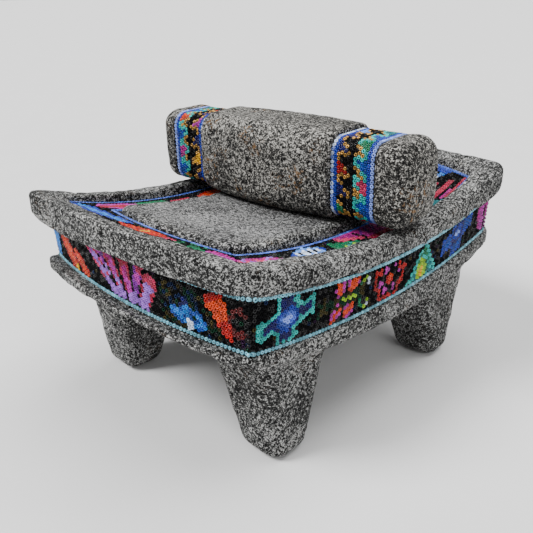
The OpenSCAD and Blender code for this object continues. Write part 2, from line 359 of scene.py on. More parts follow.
# ---------------------------------------------------------------- stone material
class Nodes:
    """Short calls that add nodes to one material."""

    def __init__(self, name):
        self.material = bpy.data.materials.new(name)
        self.material.use_nodes = True
        self.tree = self.material.node_tree
        self.shader = self.tree.nodes["Principled BSDF"]
        self.place = self.add("ShaderNodeTexCoord").outputs["Object"]

    def add(self, kind, **settings):
        node = self.tree.nodes.new(kind)
        for key, value in settings.items():
            setattr(node, key, value)
        return node

    def link(self, source, socket):
        if hasattr(source, "is_output"):
            self.tree.links.new(source, socket)
        else:
            socket.default_value = source

    def pattern(self, kind, size, vector=None):
        """A texture node whose features are about size across."""
        node = self.add(kind)
        self.link(vector or self.place, node.inputs["Vector"])
        node.inputs["Scale"].default_value = 1 / (size * MM)
        return node

    def noise(self, size, detail=2.0, rough=0.5):
        node = self.pattern("ShaderNodeTexNoise", size)
        node.inputs["Detail"].default_value = detail
        node.inputs["Roughness"].default_value = rough
        return node.outputs["Fac"]

    def ragged_cells(self, size, reach, ripple):
        """Distance from cell centres, with the cells bent by noise of size ripple to turn ragged."""
        shift = self.pattern("ShaderNodeTexNoise", ripple)
        node = self.add("ShaderNodeVectorMath", operation="MULTIPLY_ADD")
        self.link(shift.outputs["Color"], node.inputs[0])
        node.inputs[1].default_value = (reach * MM,) * 3
        self.link(self.place, node.inputs[2])
        return self.pattern("ShaderNodeTexVoronoi", size, node.outputs["Vector"]).outputs["Distance"]

    def ramp(self, source, stops):
        node = self.add("ShaderNodeValToRGB")
        self.link(source, node.inputs["Fac"])
        elements = node.color_ramp.elements
        while len(elements) < len(stops):
            elements.new(0.5)
        for element, (place, color) in zip(elements, stops):
            element.position = place
            element.color = color if len(color) == 4 else (*color, 1)
        return node.outputs["Color"]

    def level(self, source, low, high, to_low=0.0, to_high=1.0):
        node = self.add("ShaderNodeMapRange")
        self.link(source, node.inputs["Value"])
        for key, value in zip(("From Min", "From Max", "To Min", "To Max"), (low, high, to_low, to_high)):
            node.inputs[key].default_value = value
        return node.outputs["Result"]

    def math(self, operation, a, b=0.0):
        node = self.add("ShaderNodeMath", operation=operation)
        self.link(a, node.inputs[0])
        self.link(b, node.inputs[1])
        return node.outputs["Value"]

    def mix(self, factor, a, b, blend="MIX"):
        node = self.add("ShaderNodeMix", data_type="RGBA", blend_type=blend)
        self.link(factor, node.inputs["Factor"])
        self.link(a, node.inputs[6])
        self.link(b, node.inputs[7])
        return node.outputs[2]

    def bump(self, height, depth, strength=1.0):
        node = self.add("ShaderNodeBump")
        node.inputs["Distance"].default_value = depth * MM
        node.inputs["Strength"].default_value = strength
        self.link(height, node.inputs["Height"])
        self.link(node.outputs["Normal"], self.shader.inputs["Normal"])


def basalt(name, rust, tint, worn=False):
    """Vesicular basalt: pale and dark grains, pores painted near-black as painted shade in their hollows,
    and, on the worn pad, a paler face.
    """
    n = Nodes(name)
    grains = n.noise(2.2, 2.0, 0.8)
    fine = n.noise(0.85, 1.0, 0.7)
    patches = n.noise(30.0, 2.0, 0.5)
    mottle = n.math("ADD", n.math("MULTIPLY", grains, 0.50), n.math("MULTIPLY", fine, 0.50))
    mottle = n.math("ADD", mottle, n.level(patches, 0.3, 0.7, -0.025, 0.025))
    color = n.ramp(mottle, [
        (0.425, (0.0005, 0.0005, 0.0005)), (0.462, (0.009, 0.009, 0.009)), (0.50, (0.040, 0.040, 0.039)),
        (0.54, (0.105, 0.105, 0.103)), (0.585, (0.34, 0.34, 0.33))])
    # Pores: cells mixed to near-black. The black is painted shade for the dark inside of each small
    # hollow, and the bump only dents them a little.
    pore_size = n.level(n.noise(9.0, 1.0), 0.35, 0.7, 0.04, 0.36)
    solid = n.level(n.math("SUBTRACT", n.ragged_cells(3.4, 1.1, 1.4), pore_size), -0.03, 0.03)
    color = n.mix(solid, (0.001, 0.001, 0.001, 1), color)
    rust_patch = n.level(n.noise(26.0, 1.0), 0.58, 0.68)
    rusty = n.math("MULTIPLY", rust_patch, n.level(n.noise(3.0, 2.0, 0.7), 0.55, 0.64))
    color = n.mix(n.math("MULTIPLY", rusty, rust), color, (0.17, 0.095, 0.040, 1))
    color = n.mix(1.0, color, (*tint, 1), "MULTIPLY")
    if worn:
        share = n.add("ShaderNodeAttribute", attribute_name="worn").outputs["Fac"]
        smooth = n.ramp(mottle, [
            (0.44, (0.003, 0.003, 0.003)), (0.5, (0.060, 0.060, 0.061)), (0.55, (0.25, 0.25, 0.25))])
        color = n.mix(n.math("MULTIPLY", share, 0.85), color, smooth)
    n.link(color, n.shader.inputs["Base Color"])
    n.link(n.level(mottle, 0.3, 0.7, 0.95, 0.80), n.shader.inputs["Roughness"])
    n.shader.inputs["Specular IOR Level"].default_value = 0.22
    n.bump(n.math("ADD", mottle, n.math("MULTIPLY", solid, 0.5)), 0.9, 0.85)
    return n.material


def wax_material():
    n = Nodes("black_wax")
    smear = n.noise(6.0, 3.0)
    color = n.ramp(smear, [(0.3, (0.003, 0.003, 0.003)), (0.7, (0.012, 0.010, 0.009))])
    n.link(color, n.shader.inputs["Base Color"])
    n.link(n.level(smear, 0.3, 0.7, 0.42, 0.62), n.shader.inputs["Roughness"])
    n.bump(n.noise(1.6, 2.0), 0.25, 0.6)
    return n.material


# ---------------------------------------------------------------- bead colours
GLASS = {
    "black": (0.0025, 0.0025, 0.003), "ink_green": (0.003, 0.022, 0.011),
    "ink_gold": (0.035, 0.028, 0.008), "ink_blue": (0.004, 0.011, 0.04),
    "ink_purple": (0.018, 0.004, 0.025), "pale_cyan": (0.16, 0.4, 0.496),
    "periwinkle": (0.056, 0.112, 0.45), "white": (0.493, 0.578, 0.731),
    "lavender": (0.192, 0.272, 0.64), "cobalt": (0.0072, 0.027, 0.252),
    "navy": (0.0015, 0.0015, 0.075), "sky": (0.009, 0.132, 0.432), "blue": (0.003, 0.04, 0.236),
    "ice": (0.086, 0.216, 0.576), "turquoise": (0.014, 0.322, 0.294), "teal": (0.0028, 0.098, 0.112),
    "green": (0.0014, 0.105, 0.042), "lime": (0.196, 0.364, 0.007), "yellow": (0.6, 0.315, 0.0037),
    "gold": (0.357, 0.196, 0.047), "orange": (0.432, 0.033, 0.0024), "red": (0.288, 0.0036, 0.0024),
    "dark_red": (0.07, 0.0021, 0.0028), "crimson": (0.252, 0.0072, 0.033),
    "pink": (0.36, 0.022, 0.074), "magenta": (0.248, 0.005, 0.136), "orchid": (0.317, 0.02, 0.251),
    "purple": (0.124, 0.005, 0.186), "lilac": (0.24, 0.096, 0.44),
}
NAMES = list(GLASS)
CODE = {name: i for i, name in enumerate(NAMES)}
TINTS = 3               # how many slightly different melts there are of each colour
INKS = ("ink_green", "ink_gold", "ink_blue", "ink_purple")


def glass(name, tint):
    """Opaque glass of one colour; tint steps its brightness and gloss."""
    material = bpy.data.materials.new(f"{name}_glass_{tint}")
    material.use_nodes = True
    shader = material.node_tree.nodes["Principled BSDF"]
    shade = (0.72, 1.0, 1.28)[tint]
    color = [min(c * shade, 1.0) for c in GLASS[name]]
    shader.inputs["Base Color"].default_value = (*color, 1)
    shader.inputs["Roughness"].default_value = (0.30, 0.22, 0.26)[tint]
    shader.inputs["Specular IOR Level"].default_value = 0.32
    if name == "black":
        shader.inputs["Roughness"].default_value = (0.36, 0.22, 0.45)[tint]
        shader.inputs["Specular IOR Level"].default_value = (0.06, 0.26, 0.03)[tint]
    if name.startswith("ink"):
        shader.inputs["Metallic"].default_value = 0.75
        shader.inputs["Roughness"].default_value = 0.20
    if name == "gold":
        shader.inputs["Metallic"].default_value = 0.55
    return material


GLASS_MATERIALS = {(name, tint): glass(name, tint) for name in NAMES for tint in range(TINTS)}

# ---------------------------------------------------------------- beads
BEAD_SIDES = 10
# Section of a bead: angles round the middle of its wall, from the outside below to the hole
BEAD_SECTION = np.radians([-62, -5, 42, 88, 138, 190])
WALL_MIDDLE = 0.69      # radius of the wall's middle, as a share of the bead's radius
WALL_HALF = 0.31
BEAD_HALF_H = 0.62


def closed_quads(count, m):
    """Quads between count sections of m points each, closed both ways."""
    i, j = np.meshgrid(np.arange(count), np.arange(m), indexing="ij")
    i2, j2 = (i + 1) % count, (j + 1) % m
    return np.stack([i * m + j, i2 * m + j, i2 * m + j2, i * m + j2], axis=-1).reshape(-1, 4)


def bead_ring():
    """Points and quads of one bead of radius 1 whose hole runs along Z."""
    turn = np.arange(BEAD_SIDES) * 2 * np.pi / BEAD_SIDES
    radius = WALL_MIDDLE + WALL_HALF * np.cos(BEAD_SECTION)
    height = BEAD_HALF_H * np.sin(BEAD_SECTION)
    points = np.stack([
        np.outer(np.cos(turn), radius), np.outer(np.sin(turn), radius),
        np.tile(height, (BEAD_SIDES, 1))], axis=-1).reshape(-1, 3)
    return points, closed_quads(BEAD_SIDES, len(BEAD_SECTION))


RING_POINTS, RING_QUADS = bead_ring()


def unit(v):
    return v / np.linalg.norm(v, axis=-1, keepdims=True)


def claim(piece, node, body="slab"):
    """Hides the node of the frame that a piece replaces, and puts the piece on the body it rides on."""
    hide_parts(node)
    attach(piece, body)


def string_beads(name, rng, centre, normal, along, radius, color, place=None):
    """One mesh of separate beads; normal is the way each hole faces and along a tangent."""
    count = len(centre)
    radius = np.broadcast_to(radius, count)
    if isinstance(color, str):
        color = np.full(count, CODE[color])
    normal = unit(normal + rng.normal(0, 0.07, (count, 3)))
    side = unit(np.cross(normal, along))
    along = np.cross(side, normal)
    size = radius[:, None, None] * rng.normal(1.0, 0.035, (count, 1, 1))
    axes = np.stack([along, side, normal], axis=1)
    points = centre[:, None, :] + size * (RING_POINTS @ axes)
    points = points.reshape(-1, 3)
    if place is not None:
        points = points @ place[0].T + place[1]
    offsets = np.arange(count)[:, None, None] * len(RING_POINTS)
    faces = (RING_QUADS[None] + offsets).reshape(-1, 4)
    tint = rng.integers(0, TINTS, count)
    key = color * TINTS + tint
    used, index = np.unique(key, return_inverse=True)
    piece = make_mesh(name, points, [faces], np.repeat(index, len(RING_QUADS)))
    for k in used:
        piece.data.materials.append(GLASS_MATERIALS[NAMES[k // TINTS], int(k % TINTS)])
    return piece


class Side:
    """One bowed side of a plan outline, seen from outside: s runs from its left end."""
    TURN = {"front": 0, "right": 90, "back": 180, "left": 270}

    def __init__(self, name, half, bows=BOWS):
        across = name in ("front", "back")
        self.a = half[0] if across else half[1]
        self.b = half[1] if across else half[0]
        self.bow = bows[1] if across else bows[0]
        self.r = sag_r(self.bow, self.a)
        self.half_angle = math.asin(self.a / self.r)
        self.length = 2 * self.r * self.half_angle
        self.turn = math.radians(self.TURN[name])

    def at(self, s, inset=0.0):
        """Plan points and outward normals at lengths s, set in by inset."""
        angle = s / self.r - self.half_angle
        x = (self.r - inset) * np.sin(angle)
        y = self.r - self.b - self.bow - (self.r - inset) * np.cos(angle)
        nx, ny = np.sin(angle), -np.cos(angle)
        c, k = math.cos(self.turn), math.sin(self.turn)
        points = np.stack([c * x - k * y, k * x + c * y], -1)
        return points, np.stack([c * nx - k * ny, k * nx + c * ny], -1)


def with_z(xy, z):
    return np.concatenate([xy, np.broadcast_to(np.asarray(z, float), xy.shape[:1])[:, None]], axis=1)


# ---------------------------------------------------------------- motifs
class Canvas:
    """Beads of one panel, in millimetres along (s) and up (h) its face, and their colours."""

    def __init__(self, s, h, rng, ink=0.05):
        self.s, self.h = s, h
        inks = np.array([CODE[name] for name in INKS])[rng.integers(0, len(INKS), len(s))]
        self.color = np.where(rng.random(len(s)) < ink, inks, CODE["black"])
        self.rng = rng

    def fill(self, mask, name):
        self.color = np.where(mask, CODE[name], self.color)

    def along(self, start, end):
        return (self.s > start) & (self.s < end)

    def speckle(self, mask, names, share):
        hit = mask & (self.rng.random(len(self.s)) < share)
        pick = np.array([CODE[name] for name in names])[self.rng.integers(0, len(names), len(self.s))]
        self.color = np.where(hit, pick, self.color)

    def stroke(self, start, end, width0, width1):
        """Share of the way along a tapered stroke, and how far across it, 1 at its edge."""
        d = np.array(end, float) - np.array(start, float)
        length = np.hypot(*d)
        ds, dh = self.s - start[0], self.h - start[1]
        t = (ds * d[0] + dh * d[1]) / length ** 2
        across = np.abs(ds * d[1] - dh * d[0]) / length
        width = width0 + (width1 - width0) * np.clip(t, 0, 1)
        return t, across / width

    def petal(self, start, end, width, inner, outer, tip=None):
        """A pointed oval: inner colour within outer, and tip past most of its length."""
        t, across = self.stroke(start, end, width, width)
        body = across / np.sqrt(np.clip(4 * t * (1 - t), 1e-6, 1))
        inside = (t > 0) & (t < 1) & (body < 1)
        self.fill(inside, outer)
        self.fill(inside & (body < 0.55), inner)
        if tip:
            self.fill(inside & (t > 0.72), tip)

    def blade(self, start, end, width0, width1, colors, edge=None):
        """A tapered blade whose colours change from its base to its tip."""
        t, across = self.stroke(start, end, width0, width1)
        inside = (t > 0) & (t < 1) & (across < 1 - 0.5 * np.clip(t - 0.85, 0, 1) / 0.15)
        for i, name in enumerate(colors):
            self.fill(inside & (t >= i / len(colors)), name)
        if edge:
            self.fill(inside & (across > 0.60) & (t > 0.25), edge)

    def dot(self, centre, radius, name):
        self.fill(np.hypot(self.s - centre[0], self.h - centre[1]) < radius, name)

    def star(self, centre, size, outline, body, heart):
        """A stepped eight-pointed star, leaning a little, with a pale heart."""
        x = np.abs(self.s - centre[0]) * 20 / size
        lean = 0.22 * (self.s - centre[0])
        y = np.abs(self.h - centre[1] - lean) * 20 / size
        arms = np.minimum(np.maximum(x - 20, y - 5.5), np.maximum(x - 7, y - 15))
        m = np.minimum(arms, (x + y - 15) * 0.7)
        self.fill(m < 0, outline)
        self.fill(m < -2.6, body)
        r = np.hypot(x, y)
        for reach, name in zip((7.6, 5.2, 2.6), heart):
            self.fill(r < reach, name)

    def diamond(self, centre, half_s, half_h, bands):
        """Nested diamonds: bands lists each share of the size and its colour."""
        m = np.abs(self.s - centre[0]) / half_s + np.abs(self.h - centre[1]) / half_h
        for share, name in bands:
            self.fill(m < share, name)


PANEL_H = 26.0          # height of the bead field that the side motifs are drawn for


def front_motif(c):
    c.fill(c.s < 14 + 7 * c.h / PANEL_H, "sky")
    c.fill(c.s < 2.0, "dark_red")
    c.petal((48, 0), (24, 26), 7.5, "orange", "red")
    c.petal((47, 16), (66, 0), 5.0, "orange", "red")
    c.dot((47, 2), 2.4, "yellow")
    fan = [
        ((101, 0), (68, 32), 3.0, 4.6, ("lilac", "lilac", "lilac", "orchid"), "pink"),
        ((97, 12), (82, 33), 1.6, 4.6, ("lilac", "purple", "orchid"), "orchid"),
        ((108, 0), (93, 32), 2.6, 5.4, ("lilac", "lilac", "orchid", "magenta"), "crimson"),
        ((115, 0), (110, 32), 2.8, 5.6, ("lilac", "orchid", "magenta", "crimson"), "crimson"),
        ((118, 3), (127, 31), 1.6, 5.0, ("lilac", "purple", "orchid", "pink"), "purple"),
        ((124, 0), (137, 26), 4.0, 6.4, ("lilac", "lilac", "lilac", "pink"), "crimson"),
    ]
    for start, end, w0, w1, colors, edge in fan:
        c.blade(start, end, w0 + 1.3, w1 + 1.5, ("black",))
        c.blade(start, end, w0, w1, colors, edge)
    c.speckle(c.along(142, 186) & (c.h < 26), ("ink_gold", "ink_blue", "ink_green"), 0.5)
    for base, end, width, tip in (((161, 5), (149, 12), 3.8, None), ((163, 6), (159, 19), 4.2, "navy"),
                                  ((166, 4), (174, 8), 3.6, None), ((167, 14), (174, 5), 3.2, None)):
        c.petal(base, end, width, "sky", "blue", tip)
    c.dot((163, 4), 3.2, "white")
    c.blade((191, 3), (179, 30), 2.2, 8.6, ("red", "red", "orange", "orange", "red"))
    ring = np.hypot(c.s - 196, (c.h - 16) * 0.60)
    c.fill((ring > 3.4) & (ring < 5.8) & ((c.s < 195) | (np.abs(c.h - 16) > 4)), "dark_red")


def right_motif(c):
    c.star((27, 15), 21, "turquoise", "navy", ("cobalt", "periwinkle", "lavender"))
    for base, tip, width in (((69.5, 15.5), (69.5, 27.5), 4.2), ((76, 18), (87, 26), 5.2),
                             ((63, 1), (71, 12), 3.8), ((74, 2), (82, 9), 4.4)):
        c.petal(base, tip, width, "orange", "orchid")
    stem = (np.abs(c.h - 13.5 - 0.06 * (c.s - 70)) < 4.5) & c.along(50, 92)
    c.speckle(stem, ("ink_gold", "ink_green"), 0.85)
    c.fill((np.abs(c.h - 14) < 1.6) & c.along(72, 84), "lime")
    for foot, way in ((20.5, 1), (6.5, -1)):
        ring = np.hypot(c.s - 93, c.h - foot + way * 1.5)
        arc = (ring > 2.6) & (ring < 5.4) & (way * (c.h - foot + way * 1.5) > -1)
        c.fill(arc, "green")
        c.fill(arc & (c.s > 91), "lime")
        c.fill(arc & (c.s > 96), "white")
    x, y = np.abs(c.s - 118.5), np.abs(c.h - 14.5 + 0.10 * (c.s - 118.5))
    m = np.minimum(np.maximum(x - 11, y - 14), np.maximum(x - 16.5, y - 6.5))
    c.fill(m < 0, "red")
    c.fill(m < -2.7, "black")
    for ds, dh in ((-4.5, 7), (4.5, 7.5), (9, 2), (-9, -2), (-4.5, -7), (4.5, -7)):
        c.dot((118.5 + ds, 14.5 + dh), 2.2, "orchid")
    c.dot((118.5, 14.5), 3.6, "red")
    c.dot((118.5, 14.5), 2.2, "orange")
    reach = 19 * (1 - c.h / (PANEL_H * 1.06))
    x = np.abs(c.s - 157.5)
    c.fill(x < reach, "turquoise")
    lattice = (x < reach - 3.0) & (np.mod(c.h + 1.3 * x, 8) > 2.6)
    c.fill(lattice, "teal")
    c.fill(lattice & (x < 7), "green")
    core = np.hypot(c.s - 156, (c.h - 6) * 0.6)
    c.fill(core < 5.8, "lime")
    c.fill(core < 2.8, "yellow")
    c.star((202, 16.5), 21, "cobalt", "blue", ("navy", "cobalt", "lavender"))
    c.petal((243, 2), (236, 31), 7.5, "orchid", "magenta")
    c.fill(c.s > 246, "orchid")
    t, across = c.stroke((246, 4), (240, 30), 1.0, 1.0)
    c.fill((across < 1) & (t > 0) & (t < 1), "black")


def back_motif(c):
    c.diamond((30, 16), 24, 16, ((1.0, "turquoise"), (0.82, "green"), (0.5, "lime"), (0.25, "yellow")))
    for k, tip in enumerate((62, 74, 88, 102, 114)):
        c.blade((88 + (k - 2) * 3, 0), (tip, 30), 2.2, 4.8, ("yellow", "orange", "red", "crimson"))
    c.star((142, 15), 20, "red", "purple", ("magenta", "orchid", "white"))
    c.petal((172, 3), (190, 28), 6.5, "sky", "cobalt")
    c.petal((176, 3), (200, 12), 5.0, "sky", "cobalt")
    c.fill(c.s > 198 - 4 * c.h / PANEL_H, "magenta")


def left_motif(c):
    c.petal((12, 2), (20, 29), 7.0, "orange", "orchid")
    c.star((52, 15), 20, "lime", "green", ("turquoise", "ice", "white"))
    c.diamond((96, 15), 22, 15, ((1.0, "red"), (0.84, "black"), (0.55, "orange"), (0.28, "yellow")))
    fifth = 1.257       # of a turn
    for k in range(5):
        tip = (136 + 15 * math.cos(fifth * k), 14 + 13 * math.sin(fifth * k))
        c.petal((136, 14), tip, 4.2, "ice", "blue")
    c.dot((136, 14), 3.0, "white")
    c.blade((172, 1), (186, 29), 7.0, 2.0, ("purple", "magenta", "orchid", "lilac"), "magenta")
    c.blade((188, 1), (202, 29), 7.0, 2.0, ("green", "turquoise", "turquoise", "ice"), "teal")
    c.diamond((226, 15), 18, 14, ((1.0, "cobalt"), (0.6, "ice"), (0.3, "white")))
    c.fill(c.s > 249, "dark_red")


OUTER_MOTIFS = {"front": front_motif, "right": right_motif, "back": back_motif, "left": left_motif}
CORNER_EASE = 7.0       # length over which the panels turn in towards a rounded corner


def outer_side(name):
    """Beads of one side: the hexagonal field, and the single rows above and below it."""
    side = Side(name, BEAD_FACE)
    field, rows = [], {"upper": [], "lower": []}
    s = 1.3
    column = 0
    while s < side.length - 1.0:
        x, y = side.at(np.array([s]))[0][0]
        low = band_foot(x, y) + BEAD
        high = BAND_TOP.height(y) - 0.6 * BEAD
        count = max(int(round((high - low) / ROW_PITCH)), 1)
        pitch = (high - low) / count
        steps = np.arange(count) + 0.5 if column % 2 == 0 else np.arange(1, count)
        for k in steps:
            field.append((s, low + pitch * k, pitch, low))
        s += pitch * NEST
        column += 1
    count = int(side.length / BEAD)
    for k in range(count):
        s = (k + 0.5) * side.length / count
        x, y = side.at(np.array([s]))[0][0]
        rows["upper"].append((s, BAND_TOP.height(y) - 0.2 * BEAD))
        rows["lower"].append((s, band_foot(x, y) + BEAD / 2))
    return side, np.array(field), {key: np.array(value) for key, value in rows.items()}


def outward(side, s, z, sink):
    """Centres and normals on a leaning side at lengths s and heights z."""
    x, y = side.at(s)[0].T
    share = (z - band_foot(x, y)) / (BAND_TOP.height(y) - band_foot(x, y))
    inset = sink - BAND_LEAN * (2 * share - 1)
    end = np.minimum(s, side.length - s)
    inset = inset + 2.2 * np.clip(1 - end / CORNER_EASE, 0, 1) ** 2
    xy, n = side.at(s, inset)
    return with_z(xy, z), with_z(n, 0.0)


UPRIGHT = np.array([0, 0, 1.0])
FIELD_SINK = 1.1        # how deep the middles of the beads lie under the bead face
ROW_SINK = 0.9


def outer_bands(rng):
    """The bead fields in the side groove, and the single rows along its edges."""
    rows = {"upper": [], "lower": []}
    for name in SIDES:
        side, field, edges = outer_side(name)
        s = field[:, 0] + rng.normal(0, 0.08, len(field))
        z = field[:, 1] + rng.normal(0, 0.08, len(field))
        centre, normal = outward(side, s, z, FIELD_SINK)
        canvas = Canvas(s, z - field[:, 3], rng)
        OUTER_MOTIFS[name](canvas)
        piece = string_beads(f"beads_outer_{name}", rng, centre, normal, UPRIGHT, field[:, 2] / 2,
                             canvas.color)
        claim(piece, f"outer_beads_{name}")
        for key, row in edges.items():
            rows[key].append(outward(side, row[:, 0], row[:, 1], ROW_SINK))
    for key, parts in rows.items():
        centre, normal = (np.concatenate(found) for found in zip(*parts))
        radius = rng.normal(1.18, 0.05, len(centre))
        piece = string_beads(f"beads_row_{key}", rng, centre, normal, UPRIGHT, radius, "pale_cyan")
        claim(piece, f"outer_row_{key}")


# ---------------------------------------------------------------- channel round the pad
def inner_motif(name, c, width):
    """Patches of colour along one side of the channel; s runs from its left end, h from the pad."""
    s, h = c.s, c.h
    v = h / width
    if name == "front":
        c.fill((v > 0.42 - 0.25 * s / 60) & (v < 1.15 - s / 90) & (s < 64), "cobalt")
        c.fill((np.abs(v - 0.72 + s / 160) < 0.10) & (s < 60), "sky")
        red = c.along(62, 122) & (np.abs(v - 0.56 + 0.004 * (s - 68)) < 0.27 - 0.008 * np.abs(s - 92))
        c.fill(red, "red")
        c.fill(red & (np.mod(s + 1.4 * h, 9) < 3.5), "orange")
        c.dot((92, 0.45 * width), 2.2, "yellow")
        c.fill(red & (s > 112), "pink")
        c.speckle(c.along(122, 152) & (v > 0.15) & (v < 0.8), ("green", "ink_green"), 0.7)
        c.petal((150, 0.45 * width), (188, 0.75 * width), 7.5, "orchid", "magenta")
    elif name == "right":
        c.petal((-12, 0.66 * width), (38, 0.58 * width), 7.5, "orchid", "magenta")
        c.speckle((s < 30) & (np.abs(v - 0.5) < 0.2), ("lilac", "pink"), 0.5)
        x = np.abs(s - 64)
        c.fill((x < 17) & (np.abs(v - 0.42) < 0.30 - 0.012 * x), "ice")
        c.fill((x < 13) & (np.abs(v - 0.42) < 0.20 - 0.010 * x) & (np.mod(s, 6.5) < 4), "white")
        c.fill((x < 11) & (np.abs(v - 0.42) < 0.10) & (np.mod(s + 2, 8) < 3), "black")
        c.fill((x > 12) & (x < 17) & (np.abs(v - 0.42) < 0.08), "cobalt")
        c.fill(c.along(86, 112) & (v > 0.22 + 0.012 * (s - 86)) & (v < 0.95), "green")
        c.speckle(c.along(96, 112) & (v > 0.5), ("turquoise", "lime"), 0.4)
        lens = c.along(98, 120) & (v > 0.02) & (v < 0.34 + 0.012 * (s - 98))
        c.fill(lens, "magenta")
        c.fill(lens & (v > 0.16 + 0.012 * (s - 98)), "pink")
        c.fill(lens & (v < 0.12), "purple")
        panel = c.along(122, 150)
        c.fill(panel, "magenta")
        c.fill(panel & (v > 0.55), "crimson")
        c.fill(panel & (v < 0.42) & (np.mod(s + h, 7) < 2.6), "purple")
        c.fill(c.along(186, 204) & (v > 0.35), "teal")
        c.dot((194, 0.66 * width), 2.4, "lime")
        for low, high in ((0.10, 0.34), (0.44, 0.66), (0.74, 0.94)):
            blade = (s > 206) & (v > low + 0.003 * (s - 206)) & (v < high)
            c.fill(blade, "magenta")
            c.fill(blade & (v > high - 0.12), "crimson")
    elif name == "back":
        c.fill((v > 0.68) & c.along(14, 74), "cobalt")
        c.fill((v > 0.80) & c.along(30, 74) & (np.mod(s, 9) < 3), "sky")
        for k in range(5):
            bar = (np.abs(s - 15 - 8.5 * k) < 2.9) & (v > 0.32 - 0.02 * k) & (v < 0.66)
            c.fill(bar, "sky")
            c.fill(bar & (v < 0.58), "ice")
            c.fill(bar & (v < 0.50), "white")
        c.fill((v < 0.24) & (s < 44), "crimson")
        c.fill(c.along(58, 94) & (np.abs(v - 0.5) < 0.34 - 0.012 * np.abs(s - 76)), "turquoise")
        c.fill(c.along(66, 86) & (np.abs(v - 0.5) < 0.16), "lime")
        c.petal((100, 0.3 * width), (142, 0.7 * width), 7.0, "orchid", "magenta")
        c.fill((s > 152) & (v > 0.25), "green")
        c.fill((s > 158) & (v > 0.5) & (np.mod(s, 8) < 4), "lime")
    else:
        c.fill((s < 40) & (v > 0.2), "cobalt")
        c.petal((52, 0.3 * width), (96, 0.7 * width), 7.0, "sky", "navy")
        c.petal((104, 0.6 * width), (136, 0.4 * width), 6.0, "orange", "red")
        c.fill(c.along(142, 162) & (v < 0.62), "crimson")
        c.fill(c.along(166, 192) & (v > 0.12) & (v < 0.72), "green")
        c.petal((192, 0.5 * width), (236, 0.42 * width), 8.0, "crimson", "orchid")


def channel_point(outer, inner, u, v):
    """Points between the pad's edge (v = 0) and the rim (v = 1); u is the share along the side."""
    a, _ = outer.at(u * outer.length)
    b, _ = inner.at(u * inner.length)
    return b + (a - b) * v[:, None]


ALONG_CHANNEL = np.array([1.0, 0.3, 0])


def inner_bands(rng):
    """The bead fields in the channel, and the single rows along the rim and the pad."""
    edges = {"rim": [], "pad": []}
    for name in SIDES:
        outer = Side(name, RIM_INNER - 0.4)
        inner = Side(name, PAD_EDGE + 0.4, PAD_BOWS)
        width = (RIM_INNER - PAD_EDGE)[1 if name in ("front", "back") else 0]
        rows = int(round((width - BEAD) / (BEAD * NEST)))
        field = []
        for row in range(rows + 1):
            v = (BEAD / 2 + (width - BEAD) * row / rows) / width
            length = inner.length + (outer.length - inner.length) * v
            count = int(length / BEAD)
            if row in (0, rows):
                u = (np.arange(count) + 0.5) / count
                edges["rim" if row else "pad"].append(on_channel(outer, inner, u, np.full(count, v)))
            else:
                u = (np.arange(count) + (0.5 if row % 2 else 0.9)) / (count + 0.4)
                field.append((u, np.full(count, v)))
        u, v = np.concatenate(field, axis=1)
        u = u + rng.normal(0, 0.0004, len(u))
        centre, normal = on_channel(outer, inner, u, v)
        canvas = Canvas(u * outer.length, v * width, rng)
        inner_motif(name, canvas, width)
        piece = string_beads(f"beads_channel_{name}", rng, centre, normal, ALONG_CHANNEL, BEAD / 2,
                             canvas.color)
        claim(piece, f"inner_beads_{name}")
    for key, parts in edges.items():
        centre, normal = (np.concatenate(found) for found in zip(*parts))
        piece = string_beads(f"beads_channel_row_{key}", rng, centre, normal, ALONG_CHANNEL, BEAD / 2,
                             "periwinkle")
        claim(piece, f"inner_row_{key}")


def on_channel(outer, inner, u, v):
    xy = channel_point(outer, inner, u, v)
    y = xy[:, 1]
    slope = y / CHANNEL.r
    normal = np.stack([np.zeros(len(y)), -slope, np.ones(len(y))], -1)
    return with_z(xy, CHANNEL.height(y) - 1.0), unit(normal)


# ---------------------------------------------------------------- wax beds
def tube(name, rings):
    """A closed band from rings of points, each ring a section, all joined end to end."""
    return make_mesh(name, rings.reshape(-1, 3), [closed_quads(*rings.shape[:2])])


def outer_wax(rng):
    """The wax in the side groove: a thin wall with a lumpy face, closed behind in the stone."""
    rings = []
    shares = np.linspace(0, 1, 15)
    for name in SIDES:
        side = Side(name, BEAD_FACE)
        count = int(side.length / 3)
        for k in range(count):
            s = (k + 0.5) * side.length / count
            x, y = side.at(np.array([s]))[0][0]
            low, high = band_foot(x, y) - 0.6, BAND_TOP.height(y) + 0.6
            z = low + (high - low) * shares
            face, _ = outward(side, np.full(len(shares), s), z, 1.45)
            face[:, :2] += rng.normal(0, 0.05, (len(shares), 2))
            back, _ = outward(side, np.full(len(shares), s), z, 4.2)
            rings.append(np.concatenate([face, back[::-1]]))
    piece = tube("wax_outer", np.array(rings)[:, ::-1])
    finish(piece, "outer_wax")


def inner_wax(rng):
    """The wax on the channel's floor, from under the pad's edge to under the rim."""
    rings = []
    shares = np.linspace(-0.06, 1.06, 12)
    for name in SIDES:
        outer, inner = Side(name, RIM_INNER), Side(name, PAD_EDGE, PAD_BOWS)
        count = int(outer.length / 3)
        for k in range(count):
            u = np.full(len(shares), (k + 0.5) / count)
            face, _ = on_channel(outer, inner, u, shares)
            face[:, 2] += rng.normal(0, 0.05, len(shares)) - 0.25
            back = face - np.array([0, 0, 2.6])
            rings.append(np.concatenate([face, back[::-1]]))
    piece = tube("wax_channel", np.array(rings))
    finish(piece, "inner_wax")


